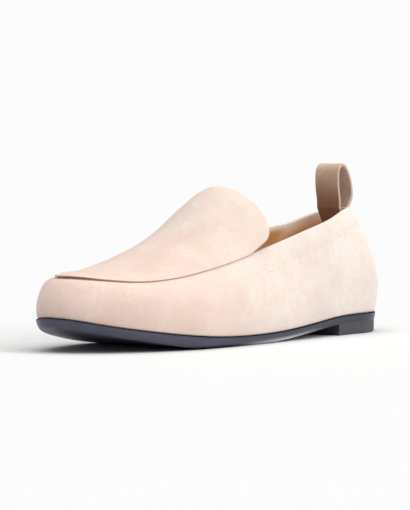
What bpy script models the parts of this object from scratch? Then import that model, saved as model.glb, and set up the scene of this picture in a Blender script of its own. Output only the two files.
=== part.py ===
"""A left suede loafer, standing empty on its sole.

The form of the last is a family of sections. Each section starts at the feather line, where the upper
meets the sole, climbs to an edge, and in front of the throat goes on over the apron to the ridge of the
instep. Behind the throat the edge is the collar, and in front of it the edge is the apron seam.
The upper's wall follows the sections from the feather to the edge, and a little further under the apron.
The apron laps over it from the seam to the ridge, and ends behind in a free tongue flap. A sole, a heel
block, an insole and a pull loop complete the shoe.

Sizes and tables are in millimetres. A station is a distance from the heel's back along the shoe, towards
the toe (+X). Lateral is the outer side of the foot (+Y) and medial the inner side (-Y).
"""

import bmesh
import bpy
import numpy as np

MM = 0.001
UP = np.array([0.0, 0.0, 1.0])

# Plan of the last at the feather line
LENGTH = 245.0
BALL = 172.0
HEEL_CENTRE = 34.0
BALL_LATERAL = 40.0
BALL_MEDIAL = 36.5
HEEL_HALF = 29.5
TOE_SWING = -3.5
TOE_FULLNESS = 1.95
HEEL_FULLNESS = 2.1

# Plan of the edge: apron seam in front, collar behind, and the throat corner between them
APRON_TIP = 234.0
APRON_LATERAL = 32.0
APRON_MEDIAL = 30.0
APRON_SWING = -3.5
APRON_FULLNESS = 2.35
THROAT = 132.0
COLLAR_FRONT = 90.0
COLLAR_BACK = 12.0
COLLAR_FULLNESS = 2.05

# The apron's ridge sections gather at the spine's end, and its flap rises behind the throat
SPINE_END = 214.0
RIDGE_HANDLE = 0.37
SEAM_HANDLE = 0.30
FLAP_END = 109.5
FLAP_ROUNDING = 13.0
FLAP_SQUARENESS = 3.4
FLAP_FIRST_ANGLE = 14.0
FLAP_RISE = 0.5
FLAP_SWEEP = 7.5

# Thicknesses and fits
GAP = 0.3
WALL = 2.0
APRON = 1.4
UNDERLAP = 6.0
UNDERLAP_TAPER = 14.0
UNDERLAP_DROP = 0.02
INSOLE = 2.5
INSOLE_INSET = 3.2

# The sole's side, as rings from the bottom to the top
SOLE_MARGIN = 0.8
SOLE_RINGS = (
    {"inset": 3.4, "rise": 0.0},
    {"inset": 1.7, "rise": 0.12},
    {"inset": 0.7, "rise": 0.38},
    {"inset": 0.0, "rise": 1.0},
)

# The heel block
HEEL_BREAST = 54.0
BREAST_CLEARANCE = 1.0
HEEL_SET_IN = 0.5
HEEL_TAPER = 1.2
HEEL_BEVEL = 0.5

# The pull loop's strip
LOOP = 1.6
LOOP_WIDTH = 15.0
LOOP_CUP = 16.0
LOOP_POINTS = 33
LOOP_COLUMNS = 5
LOOP_BEVEL = 0.35

# Sections on each side, from the toe's tip to the heel's back
TOE_SECTIONS = 13
FRONT_SECTIONS = 8
COLLAR_SECTIONS = 13
HEEL_SECTIONS = 9
FLAP_SECTIONS = 8
WALL_ROWS = 10
APRON_COLUMNS = 8

# Points closer than this are one point, and edges that turn more than this angle are softened
MERGE_DISTANCE = 0.01
SOFT_ANGLE = np.radians(40.0)


def smooth(station, value, level_ends):
    """A cubic through the rows of a column, whose slope at a row is set by the rows beside it."""
    step = np.diff(station)
    rise = np.diff(value) / step
    slope = np.zeros_like(value)
    slope[1:-1] = (rise[:-1] * step[1:] + rise[1:] * step[:-1]) / (step[:-1] + step[1:])
    if not level_ends:
        slope[0] = rise[0]
        slope[-1] = rise[-1]

    def at(where):
        s = np.clip(where, station[0], station[-1])
        i = np.clip(np.searchsorted(station, s, side="right") - 1, 0, len(step) - 1)
        t = (s - station[i]) / step[i]
        start = (1 + 2 * t) * (1 - t) ** 2 * value[i] + t * (1 - t) ** 2 * step[i] * slope[i]
        end = t * t * (3 - 2 * t) * value[i + 1] + t * t * (t - 1) * step[i] * slope[i + 1]
        return start + end

    return at


def table(columns, rows, level_ends=False):
    """A table with stations in its first column, as one smooth function for each other column."""
    data = np.array(rows, float)
    names = columns.split()[1:]
    return {name: smooth(data[:, 0], data[:, i + 1], level_ends) for i, name in enumerate(names)}


# Half widths between heel and ball: the feather line, and the edge above it
WAIST = table(
    "station lateral medial edge_lateral edge_medial",
    [
        (HEEL_CENTRE, HEEL_HALF, HEEL_HALF, 28.4, 26.4),
        (55, 30.8, 28.4, 28.4, 26.4),
        (80, 33.6, 27.0, 28.4, 26.4),
        (105, 36.8, 27.8, 29.4, 27.2),
        (THROAT, 39.0, 31.6, 31.4, 28.8),
        (152, 39.8, 35.2, 32.0, 29.7),
        (BALL, BALL_LATERAL, BALL_MEDIAL, APRON_LATERAL, APRON_MEDIAL),
    ],
    level_ends=True,
)

# Heights along the shoe, and the share of the sole's full edge rounding
HEIGHTS = table(
    "station feather sole edge_lateral edge_medial rounding",
    [
        (0, 10.6, 7.2, 67.0, 67.0, 0.2),
        (20, 11.0, 7.0, 67.0, 65.6, 0.2),
        (HEEL_CENTRE, 11.0, 6.9, 66.0, 63.2, 0.2),
        (55, 10.2, 5.8, 62.2, 59.6, 0.3),
        (80, 8.0, 3.2, 56.8, 55.6, 0.8),
        (105, 6.2, 0.9, 51.2, 51.0, 1.0),
        (THROAT, 5.3, 0.0, 45.2, 45.2, 1.0),
        (152, 5.4, 0.0, 41.2, 41.4, 1.0),
        (BALL, 6.3, 0.0, 38.0, 38.2, 1.0),
        (190, 7.9, 0.8, 35.6, 35.8, 1.0),
        (212, 10.7, 3.7, 34.4, 34.4, 1.0),
        (228, 13.4, 7.9, 35.8, 35.6, 1.0),
        (LENGTH, 17.6, 13.6, 38.4, 38.4, 1.0),
    ],
)

# The ridge of the instep, from the end of the flap to the tip of the apron
RIDGE = table(
    "station side height",
    [
        (FLAP_END, -1.0, 80.2),
        (121, -2.0, 77.0),
        (133, -3.0, 70.2),
        (146, -3.5, 61.0),
        (159, -4.0, 53.4),
        (174, -4.0, 47.2),
        (189, -4.0, 42.2),
        (205, -3.8, 38.6),
        (220, -3.6, 37.4),
        (APRON_TIP, APRON_SWING, 37.2),
    ],
)

# Shape of the wall's sections: lean at the feather and slope at the edge in degrees, and Bezier handles
SECTIONS = table(
    "station lean slope foot_handle edge_handle",
    [
        (0, 18, 60, 0.38, 0.36),
        (HEEL_CENTRE, 16, 66, 0.36, 0.34),
        (80, 13, 74, 0.34, 0.30),
        (105, 14, 70, 0.34, 0.32),
        (THROAT, 15, 60, 0.36, 0.36),
        (BALL, 15, 43, 0.42, 0.36),
        (205, 14, 27, 0.44, 0.38),
        (LENGTH, 16, 16, 0.42, 0.36),
    ],
)

# The pull loop's middle line: ahead of the wall's inner face at the heel, height, and how far it cups
LOOP_ROUTE = (
    {"ahead": -1.4, "height": 67.4, "cup": 1.0},
    {"ahead": -3.4, "height": 73.0, "cup": 0.5},
    {"ahead": -5.0, "height": 80.0, "cup": 0.0},
    {"ahead": -3.2, "height": 87.6, "cup": 0.0},
    {"ahead": 2.2, "height": 90.6, "cup": 0.0},
    {"ahead": 7.0, "height": 87.8, "cup": 0.0},
    {"ahead": 8.3, "height": 80.0, "cup": 0.0},
    {"ahead": 7.6, "height": 70.0, "cup": 0.2},
    {"ahead": 6.6, "height": 60.0, "cup": 0.7},
    {"ahead": 3.4, "height": 51.0, "cup": 1.0},
    {"ahead": 1.4, "height": 45.0, "cup": 1.0},
)


def unit(vectors):
    return vectors / np.linalg.norm(vectors, axis=-1, keepdims=True)


def rounded_end(share, half, fullness):
    """Half width of a superellipse at a share of the way to its tip. Fullness 2 is an ellipse."""
    return half * np.clip(1 - share**fullness, 0, 1) ** (1 / fullness)


def section_shares():
    """Shares of the way to the tip in the toe and in the heel, and the stations between them."""
    toe = np.sin(np.linspace(np.pi / 2, 0, TOE_SECTIONS))
    heel = np.sin(np.linspace(0, np.pi / 2, HEEL_SECTIONS))
    front = np.linspace(BALL, THROAT, FRONT_SECTIONS)[1:]
    collar = np.linspace(THROAT, HEEL_CENTRE, COLLAR_SECTIONS)[1:-1]
    return toe, np.concatenate([front, collar]), heel


def feather_rail(side, sign, ball):
    """Feather line of one side, from the toe's tip to the heel's back."""
    toe, waist, heel = section_shares()
    x = np.concatenate([BALL + (LENGTH - BALL) * toe, waist, HEEL_CENTRE * (1 - heel)])
    half = [
        rounded_end(toe, ball, TOE_FULLNESS) + sign * TOE_SWING * toe**2,
        WAIST[side](waist),
        rounded_end(heel, HEEL_HALF, HEEL_FULLNESS),
    ]
    return np.stack([x, sign * np.concatenate(half), HEIGHTS["feather"](x)], axis=1)


def edge_rail(side, sign, apron):
    """Apron seam and collar of one side, from the seam's tip to the collar's back."""
    toe, waist, heel = section_shares()
    x = np.concatenate(
        [BALL + (APRON_TIP - BALL) * toe, waist, HEEL_CENTRE - (HEEL_CENTRE - COLLAR_BACK) * heel]
    )
    seam = rounded_end(toe, apron, APRON_FULLNESS) + sign * APRON_SWING * toe**2
    behind = x[TOE_SECTIONS:]
    share = np.clip((COLLAR_FRONT - behind) / (COLLAR_FRONT - COLLAR_BACK), 0, 1)
    collar = rounded_end(share, WAIST["edge_" + side](behind), COLLAR_FULLNESS)
    return np.stack([x, sign * np.concatenate([seam, collar]), HEIGHTS["edge_" + side](x)], axis=1)


def rails():
    """Feather line and edge right round: down the lateral side from the toe, and back up the medial."""
    lateral = feather_rail("lateral", 1.0, BALL_LATERAL), edge_rail("lateral", 1.0, APRON_LATERAL)
    medial = feather_rail("medial", -1.0, BALL_MEDIAL), edge_rail("medial", -1.0, APRON_MEDIAL)
    return [np.concatenate([out, into[-2:0:-1]]) for out, into in zip(lateral, medial)]


def outward(ring):
    """Level unit vectors that point out of a ring, which runs anticlockwise seen from above."""
    along = np.roll(ring, -1, axis=0) - np.roll(ring, 1, axis=0)
    return unit(np.stack([along[:, 1], -along[:, 0], np.zeros(len(ring))], axis=1))


def bezier(start, start_pull, end_pull, end, t):
    """Cubic Beziers, one for each row of the points, at the parameters in the rows of t."""
    a, b, c, d = (p[:, None, :] for p in (start, start_pull, end_pull, end))
    t = t[..., None]
    return (1 - t) ** 3 * a + 3 * t * (1 - t) ** 2 * b + 3 * t * t * (1 - t) * c + t**3 * d


def edge_direction(out, slope):
    """Direction of a section as it crosses the edge: inwards and up."""
    angle = np.radians(slope)[:, None]
    return UP * np.sin(angle) - out * np.cos(angle)


def wall_surface(feather, edge):
    """The upper's outer face: a row for each section, from the feather to the collar or underlap."""
    out = outward(feather)
    shape = {name: column(feather[:, 0])[:, None] for name, column in SECTIONS.items()}
    lean = np.radians(shape["lean"])
    foot = out * np.sin(lean) + UP * np.cos(lean)
    top = edge_direction(out, shape["slope"][:, 0])
    chord = np.linalg.norm(edge - feather, axis=1)[:, None]

    lap = np.clip((edge[:, :1] - THROAT) / UNDERLAP_TAPER, 0, 1)
    lap = UNDERLAP * lap * lap * (3 - 2 * lap)
    t = np.linspace(0, 1, WALL_ROWS) * (1 + lap / chord)
    climb = bezier(
        feather,
        feather + foot * chord * shape["foot_handle"],
        edge - top * chord * shape["edge_handle"],
        edge,
        np.minimum(t, 1),
    )
    beyond = (np.maximum(t - 1, 0) * chord)[..., None]
    return climb + top[:, None] * beyond - UP * UNDERLAP_DROP * beyond**2


def seam_sections(feather, edge):
    """Seam point, direction there and ridge station of the apron's sections in front of the throat."""
    reach = TOE_SECTIONS + FRONT_SECTIONS - 1
    near = np.arange(-reach + 1, reach)
    top = edge_direction(outward(feather), SECTIONS["slope"](feather[:, 0]))
    share = np.maximum(edge[near, 0] - BALL, 0) / (APRON_TIP - BALL)
    station = np.where(edge[near, 0] > BALL, BALL + (SPINE_END - BALL) * share, edge[near, 0])
    return edge[near], top[near], station


def flap_sections(corner, top):
    """The same for the flap, from the throat corner back to its end, with its width at each section."""
    angle = np.radians(np.linspace(90, FLAP_FIRST_ANGLE, FLAP_SECTIONS))
    station = FLAP_END + FLAP_ROUNDING * (1 - np.cos(angle) ** (2 / FLAP_SQUARENESS))
    width = np.sin(angle) ** (2 / FLAP_SQUARENESS)
    edge = np.repeat(corner[None], FLAP_SECTIONS, axis=0)
    edge[:, 0] = station
    edge[:, 2] += FLAP_RISE * (corner[0] - station)
    ridge_station = station + FLAP_SWEEP * np.cos(angle)
    return edge, np.repeat(top[None], FLAP_SECTIONS, axis=0), ridge_station, width


def apron_surface(feather, edge):
    """The face that the apron lies on: half sections from edge to ridge, medial flap round to lateral."""
    seam, seam_top, seam_station = seam_sections(feather, edge)
    medial = flap_sections(seam[0], seam_top[0])
    lateral = flap_sections(seam[-1], seam_top[-1])
    start = np.concatenate([medial[0][::-1], seam, lateral[0]])
    top = np.concatenate([medial[1][::-1], seam_top, lateral[1]])
    station = np.concatenate([medial[2][::-1], seam_station, lateral[2]])
    width = np.concatenate([medial[3][::-1], np.ones(len(seam)), lateral[3]])

    ridge = np.stack([station, RIDGE["side"](station), RIDGE["height"](station)], axis=1)
    fall = (RIDGE["height"](station + 1) - RIDGE["height"](station - 1)) / 2
    across = start - ridge
    across[:, 0] = np.maximum(across[:, 0], 0)
    across[:, 2] = 0
    across = unit(across)
    across[:, 2] = across[:, 0] * fall
    chord = np.linalg.norm(start - ridge, axis=1)[:, None]
    t = 1 - width[:, None] * np.linspace(1, 0, APRON_COLUMNS)
    return bezier(
        start, start + top * chord * SEAM_HANDLE, ridge + across * chord * RIDGE_HANDLE, ridge, t
    )


def grid_faces(rows, columns, ring=False):
    """Quads between the rows of a grid of points. In a ring the last row meets the first."""
    i, j = np.meshgrid(np.arange(rows if ring else rows - 1), np.arange(columns - 1), indexing="ij")
    k = (i + 1) % rows
    corners = [i * columns + j, k * columns + j, k * columns + j + 1, i * columns + j + 1]
    return np.stack(corners, axis=-1).reshape(-1, 4).tolist()


def rungs(count, pointed):
    """Faces that close a ring by joining its two sides. A pointed ring starts at a single tip."""
    opposite = [(count - i) % count if pointed else count - 1 - i for i in range(count)]
    faces = [[i, i + 1, opposite[i + 1], opposite[i]] for i in range(count // 2)]
    return [list(dict.fromkeys(face)) for face in faces]


def loft_faces(rings, count, pointed=True):
    """Faces of a solid that is lofted through rings of points, from its bottom to its top."""
    sides = [
        [r * count + i, r * count + (i + 1) % count, (r + 1) * count + (i + 1) % count, (r + 1) * count + i]
        for r in range(rings - 1)
        for i in range(count)
    ]
    bottom = [face[::-1] for face in rungs(count, pointed)]
    top = [[(rings - 1) * count + i for i in face] for face in rungs(count, pointed)]
    return sides + bottom + top


def material(name, colour, roughness):
    mat = bpy.data.materials.new(name)
    mat.use_nodes = True
    shader = mat.node_tree.nodes["Principled BSDF"]
    shader.inputs["Base Color"].default_value = (*colour, 1.0)
    shader.inputs["Roughness"].default_value = roughness
    shader.inputs["Metallic"].default_value = 0.0
    return mat


def add_piece(name, points, faces, finish, collection, root):
    """A mesh object of the shoe, from points in millimetres. Points that coincide are merged."""
    mesh = bpy.data.meshes.new(name)
    mesh.from_pydata((np.reshape(points, (-1, 3)) * MM).tolist(), [], faces)
    work = bmesh.new()
    work.from_mesh(mesh)
    bmesh.ops.remove_doubles(work, verts=work.verts, dist=MERGE_DISTANCE * MM)
    work.to_mesh(mesh)
    work.free()
    mesh.shade_smooth()
    mesh.materials.append(finish)
    piece = bpy.data.objects.new(name, mesh)
    piece.parent = root
    collection.objects.link(piece)
    return piece


def thicken(piece, thickness, offset):
    """Gives an open face its wall. Offset -1 puts it inside the face, and 1 outside."""
    shell = piece.modifiers.new("wall", "SOLIDIFY")
    shell.thickness = thickness * MM
    shell.offset = offset
    shell.use_even_offset = True


def soften(piece, width, segments):
    bevel = piece.modifiers.new("edges", "BEVEL")
    bevel.width = width * MM
    bevel.segments = segments
    bevel.limit_method = "ANGLE"
    bevel.angle_limit = SOFT_ANGLE


def outsole_points(feather):
    out = outward(feather)
    station = feather[:, 0]
    bottom = np.maximum(HEIGHTS["sole"](station), 0)
    top = feather[:, 2] - GAP
    rounding = HEIGHTS["rounding"](station)
    rings = []
    for ring in SOLE_RINGS:
        points = feather + out * (SOLE_MARGIN - ring["inset"] * rounding)[:, None]
        points[:, 2] = bottom + ring["rise"] * (top - bottom)
        rings.append(points)
    return np.array(rings)


def heel_points(feather):
    """The heel block's floor ring and top ring, from the lateral end of the breast to the medial end."""
    behind = feather[:, 0] < HEEL_BREAST - BREAST_CLEARANCE
    breast = [
        (HEEL_BREAST, WAIST["lateral"](HEEL_BREAST), 0.0),
        (HEEL_BREAST, -WAIST["medial"](HEEL_BREAST), 0.0),
    ]
    outline = np.concatenate([breast[:1], feather[behind], breast[1:]])
    out = np.concatenate([[(0, 1, 0)], outward(feather)[behind], [(0, -1, 0)]])
    top = outline + out * (SOLE_MARGIN - HEEL_SET_IN)
    floor = top - out * HEEL_TAPER
    top[:, 2] = HEIGHTS["sole"](top[:, 0]) - GAP
    floor[:, 2] = 0.0
    return np.array([floor, top])


def insole_points(feather):
    outline = feather - outward(feather) * INSOLE_INSET
    outline[:, 2] = HEIGHTS["feather"](outline[:, 0])
    return np.array([outline, outline + UP * INSOLE])


def through(points, count):
    """A smooth path through the points, as Catmull-Rom stretches, sampled evenly in their parameter."""
    padded = np.concatenate([2 * points[:1] - points[1:2], points, 2 * points[-1:] - points[-2:-1]])
    where = np.linspace(0, len(points) - 1, count)
    i = np.minimum(where.astype(int), len(points) - 2)
    t = (where - i)[:, None]
    before, start, end, after = (padded[i + k] for k in range(4))
    bend = 2 * before - 5 * start + 4 * end - after
    twist = 3 * (start - end) + after - before
    return start + 0.5 * t * (end - before + t * (bend + t * twist))


def loop_points(back):
    """The pull loop's middle face, seated on the wall's section at the heel's back."""
    ahead, height, cup = through(np.array([tuple(row.values()) for row in LOOP_ROUTE]), LOOP_POINTS).T
    lean = np.gradient(back[:, 0]) / np.gradient(back[:, 2])
    inner_face = back[:, 0] + WALL * np.sqrt(1 + lean**2)
    middle = np.interp(height, back[:, 2], inner_face) + ahead
    y = np.linspace(-LOOP_WIDTH / 2, LOOP_WIDTH / 2, LOOP_COLUMNS)
    x = middle[:, None] + cup[:, None] * y**2 / (2 * LOOP_CUP)
    return np.stack(np.broadcast_arrays(x, y, height[:, None]), axis=-1)


def stand_at_origin(root, pieces):
    """Moves the shoe so that the middle of its box stands on the origin."""
    depsgraph = bpy.context.evaluated_depsgraph_get()
    corners = np.array([corner for piece in pieces for corner in piece.evaluated_get(depsgraph).bound_box])
    middle = (corners.min(axis=0) + corners.max(axis=0)) / 2
    root.location = (-middle[0], -middle[1], 0.0)


def main():
    for old in list(bpy.data.objects):
        bpy.data.objects.remove(old, do_unlink=True)
    shoe = bpy.data.collections.new("suede_loafer")
    bpy.context.scene.collection.children.link(shoe)
    root = bpy.data.objects.new("suede_loafer_root", None)
    shoe.objects.link(root)

    suede = material("suede", (0.78, 0.58, 0.47), 0.95)
    apron_suede = material("apron_suede", (0.80, 0.60, 0.49), 0.95)
    loop_suede = material("loop_suede", (0.36, 0.25, 0.19), 0.95)
    sole_finish = material("sole_finish", (0.055, 0.052, 0.075), 0.45)
    heel_finish = material("heel_finish", (0.09, 0.085, 0.10), 0.6)
    insole_leather = material("insole_leather", (0.55, 0.31, 0.15), 0.6)

    feather, edge = rails()
    wall = wall_surface(feather, edge)
    apron = apron_surface(feather, edge)
    loop = loop_points(wall[len(wall) // 2])
    outsole = outsole_points(feather)
    heel = heel_points(feather)
    insole = insole_points(feather)

    upper_piece = add_piece("upper", wall, grid_faces(*wall.shape[:2], ring=True), suede, shoe, root)
    thicken(upper_piece, WALL, -1.0)
    apron_piece = add_piece("apron", apron, grid_faces(*apron.shape[:2]), apron_suede, shoe, root)
    thicken(apron_piece, APRON, 1.0 + 2.0 * GAP / APRON)
    loop_piece = add_piece("pull_loop", loop, grid_faces(*loop.shape[:2]), loop_suede, shoe, root)
    thicken(loop_piece, LOOP, 0.0)
    soften(loop_piece, LOOP_BEVEL, 1)
    sole_piece = add_piece("outsole", outsole, loft_faces(*outsole.shape[:2]), sole_finish, shoe, root)
    heel_faces = loft_faces(*heel.shape[:2], pointed=False)
    heel_piece = add_piece("heel", heel, heel_faces, heel_finish, shoe, root)
    soften(heel_piece, HEEL_BEVEL, 2)
    insole_piece = add_piece("insole", insole, loft_faces(*insole.shape[:2]), insole_leather, shoe, root)

    stand_at_origin(root, [upper_piece, apron_piece, loop_piece, sole_piece, heel_piece, insole_piece])


main()
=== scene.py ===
# %% [markdown]
# # Dressing a left suede loafer
#
# The shoe's solids come in as a fixed frame: a hollow upper, an apron with a tongue flap, a pull loop, an
# insole, a sole and a heel. They have the true shape, but their faces are coarse and bare. This lesson puts
# a finer surface in the place of each one, worked out from the same measures, and gives it the nap, seams,
# stitches and creases that the real shoe has. The frame is loaded first, because every place in the scene
# is counted from it.

import bmesh
import bpy
import numpy as np
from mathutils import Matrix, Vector


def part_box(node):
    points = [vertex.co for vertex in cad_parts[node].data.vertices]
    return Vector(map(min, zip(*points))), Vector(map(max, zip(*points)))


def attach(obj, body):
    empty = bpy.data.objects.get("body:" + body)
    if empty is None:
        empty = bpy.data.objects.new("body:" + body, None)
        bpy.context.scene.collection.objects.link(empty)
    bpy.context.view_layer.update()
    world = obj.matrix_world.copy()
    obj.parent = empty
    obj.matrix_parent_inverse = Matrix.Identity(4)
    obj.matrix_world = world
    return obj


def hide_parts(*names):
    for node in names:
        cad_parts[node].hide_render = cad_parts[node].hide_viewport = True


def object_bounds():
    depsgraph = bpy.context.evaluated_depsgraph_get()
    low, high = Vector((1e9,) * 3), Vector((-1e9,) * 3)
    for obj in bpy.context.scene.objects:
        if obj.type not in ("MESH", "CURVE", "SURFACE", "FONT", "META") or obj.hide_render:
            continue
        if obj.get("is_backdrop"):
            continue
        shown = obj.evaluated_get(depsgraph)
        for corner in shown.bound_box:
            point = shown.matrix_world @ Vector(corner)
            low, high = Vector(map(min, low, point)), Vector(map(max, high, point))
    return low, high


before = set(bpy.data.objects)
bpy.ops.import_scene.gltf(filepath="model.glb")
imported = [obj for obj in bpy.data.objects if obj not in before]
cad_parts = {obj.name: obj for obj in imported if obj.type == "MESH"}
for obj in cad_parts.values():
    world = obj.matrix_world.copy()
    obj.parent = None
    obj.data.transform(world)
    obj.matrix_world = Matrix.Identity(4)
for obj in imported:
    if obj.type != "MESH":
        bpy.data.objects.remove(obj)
cad_box = [list(corner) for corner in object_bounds()]

MM = 0.001
SOLE_MARGIN = 0.8
sole_low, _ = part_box("outsole")
loop_low, loop_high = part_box("pull_loop")
HEEL_BACK = np.array([sole_low.x / MM + SOLE_MARGIN, (loop_low.y + loop_high.y) / 2 / MM, 0.0])
print("nodes:", sorted(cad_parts))
print("the heel's back stands at", np.round(HEEL_BACK, 2), "mm")

# %% [markdown]
# ## The measures of the last
#
# A shoe is built over a last, and its shape is known by a few measures taken at stations along the foot.
# Stations are millimetres from the heel's back, towards the toe. Lateral is the outer side of the foot (+Y)
# and medial the inner side (-Y). The tables are those of the solids, so the new surfaces lie where the
# solids lie. Only the collar's height and the sole's rise at the toe differ by a few millimetres, where the
# picture asks for it. Between two rows a smooth cubic fills in, which keeps every table short.

# %% Measures
LENGTH = 245.0
BALL = 172.0
HEEL_CENTRE = 34.0
HEEL_HALF = 29.5
TOE_SWING = -3.5
TOE_FULLNESS = 1.95
HEEL_FULLNESS = 2.1
APRON_TIP = 234.0
APRON_SWING = -3.5
APRON_FULLNESS = 2.35
THROAT = 132.0
COLLAR_FRONT = 90.0
COLLAR_BACK = 12.0
COLLAR_FULLNESS = 2.05
SIDES = {
    "lateral": {"sign": 1.0, "ball": 40.0, "apron": 32.0},
    "medial": {"sign": -1.0, "ball": 36.5, "apron": 30.0},
}
print("a last of", LENGTH, "mm with a ball of", sum(side["ball"] for side in SIDES.values()), "mm")


# %% Smooth tables
def smooth(station, value, level_ends):
    """A cubic through the rows of a column, whose slope at a row is set by the rows beside it."""
    step = np.diff(station)
    rise = np.diff(value) / step
    slope = np.zeros_like(value)
    slope[1:-1] = (rise[:-1] * step[1:] + rise[1:] * step[:-1]) / (step[:-1] + step[1:])
    if not level_ends:
        slope[0] = rise[0]
        slope[-1] = rise[-1]

    def at(where):
        """The column's value at some stations."""
        s = np.clip(where, station[0], station[-1])
        i = np.clip(np.searchsorted(station, s, side="right") - 1, 0, len(step) - 1)
        t = (s - station[i]) / step[i]
        start = (1 + 2 * t) * (1 - t) ** 2 * value[i] + t * (1 - t) ** 2 * step[i] * slope[i]
        end = t * t * (3 - 2 * t) * value[i + 1] + t * t * (t - 1) * step[i] * slope[i + 1]
        return start + end

    return at


def table(columns, rows, level_ends=False):
    """A table with stations in its first column, as one smooth function for each other column."""
    data = np.array(rows, float)
    names = columns.split()[1:]
    return {name: smooth(data[:, 0], data[:, i + 1], level_ends) for i, name in enumerate(names)}


# %% Half widths of the feather line and of the edge above it
WAIST = table(
    "station lateral medial edge_lateral edge_medial",
    [
        (HEEL_CENTRE, HEEL_HALF, HEEL_HALF, 28.4, 26.4),
        (55, 30.8, 28.4, 28.4, 26.4),
        (80, 33.6, 27.0, 28.4, 26.4),
        (105, 36.8, 27.8, 29.4, 27.2),
        (THROAT, 39.0, 31.6, 31.4, 28.8),
        (152, 39.8, 35.2, 32.0, 29.7),
        (BALL, 40.0, 36.5, 32.0, 30.0),
    ],
    level_ends=True,
)
print("half width of the medial side at the throat:", float(WAIST["medial"](THROAT)), "mm")

# %% Heights of the feather line, the sole's bottom and the edge, and the share of the sole's rounding
HEIGHTS = table(
    "station feather sole edge_lateral edge_medial rounding",
    [
        (0, 10.6, 7.2, 67.0, 67.0, 0.2),
        (20, 11.0, 7.0, 67.0, 63.4, 0.2),
        (HEEL_CENTRE, 11.0, 6.9, 66.0, 58.9, 0.2),
        (55, 10.2, 5.8, 61.0, 56.2, 0.3),
        (80, 8.0, 3.2, 55.7, 53.9, 0.8),
        (105, 6.2, 0.9, 50.2, 50.3, 1.0),
        (THROAT, 5.3, 0.0, 45.2, 45.2, 1.0),
        (152, 5.4, 0.0, 41.2, 41.4, 1.0),
        (BALL, 6.3, 0.0, 38.0, 38.2, 1.0),
        (190, 7.9, 1.8, 35.6, 35.8, 1.0),
        (212, 10.7, 5.4, 34.4, 34.4, 1.0),
        (228, 13.4, 8.4, 35.8, 35.6, 1.0),
        (LENGTH, 17.6, 12.4, 38.4, 38.4, 1.0),
    ],
)
print("sole rises to", float(HEIGHTS["sole"](LENGTH)), "mm at the toe")

# %% Lean of the wall at the feather line, slope at the edge in degrees, and the pull of each end
SECTIONS = table(
    "station lean slope foot_handle edge_handle",
    [
        (0, 18, 60, 0.38, 0.36),
        (HEEL_CENTRE, 16, 66, 0.36, 0.34),
        (80, 13, 74, 0.34, 0.30),
        (105, 14, 70, 0.34, 0.32),
        (THROAT, 15, 60, 0.36, 0.36),
        (BALL, 15, 43, 0.42, 0.36),
        (205, 14, 27, 0.44, 0.38),
        (LENGTH, 16, 16, 0.42, 0.36),
    ],
)
print("the wall leans out by", float(SECTIONS["lean"](BALL)), "degrees at the ball")

# %% [markdown]
# ## Two lines round the shoe
#
# The feather line is where the upper meets the sole. The edge is the apron seam in front of the throat and
# the collar behind it. Every section of the upper climbs from the one to the other, so these two rings of
# points carry the whole form. They could be drawn as curves by hand, but as functions of the measures they
# take as many points as the fine surface needs.

# %% Helpers for lines
UP = np.array([0.0, 0.0, 1.0])


def unit(vectors):
    """Vectors of length one. A vector without length stays as it is."""
    length = np.linalg.norm(vectors, axis=-1, keepdims=True)
    return vectors / np.where(length > 0, length, 1)


def smooth_step(value, low, high):
    """0 up to the low value, 1 from the high one, and 3t^2 - 2t^3 at a share t of the way between."""
    t = np.clip((value - low) / (high - low), 0, 1)
    return t * t * (3 - 2 * t)


def rounded_end(share, half, fullness):
    """Half width of a superellipse at a share of the way to its tip. Fullness 2 is an ellipse."""
    return half * np.clip(1 - share**fullness, 0, 1) ** (1 / fullness)


def all_round(rail):
    """A ring: down the lateral side from the toe's tip to the heel's back, and up the medial side."""
    return np.concatenate([rail("lateral"), rail("medial")[-2:0:-1]])


def outward(ring):
    """Level unit vectors that point out of a ring, which runs anticlockwise seen from above."""
    along = np.roll(ring, -1, axis=0) - np.roll(ring, 1, axis=0)
    return unit(np.stack([along[:, 1], -along[:, 0], np.zeros(len(ring))], axis=1))


# %% Feather line
TOE_COLUMNS = 60
FRONT_COLUMNS = 36
COLLAR_COLUMNS = 104
HEEL_COLUMNS = 56


def stations():
    """Shares of the way to the tip in the toe and in the heel, and the stations between them."""
    toe = np.sin(np.linspace(np.pi / 2, 0, TOE_COLUMNS))
    heel = np.sin(np.linspace(0, np.pi / 2, HEEL_COLUMNS))
    front = np.linspace(BALL, THROAT, FRONT_COLUMNS)[1:]
    collar = np.linspace(THROAT, HEEL_CENTRE, COLLAR_COLUMNS)[1:-1]
    return toe, np.concatenate([front, collar]), heel


def feather_rail(side):
    """Feather line of one side, from the toe's tip to the heel's back."""
    toe, waist, heel = stations()
    sign = SIDES[side]["sign"]
    x = np.concatenate([BALL + (LENGTH - BALL) * toe, waist, HEEL_CENTRE * (1 - heel)])
    half = [
        rounded_end(toe, SIDES[side]["ball"], TOE_FULLNESS) + sign * TOE_SWING * toe**2,
        WAIST[side](waist),
        rounded_end(heel, HEEL_HALF, HEEL_FULLNESS),
    ]
    return np.stack([x, sign * np.concatenate(half), HEIGHTS["feather"](x)], axis=1)


feather = all_round(feather_rail)
HEEL_COLUMN = len(feather) // 2
print("columns round the shoe:", len(feather))

# %% Edge
BACK_BLEND = 14.0


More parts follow.
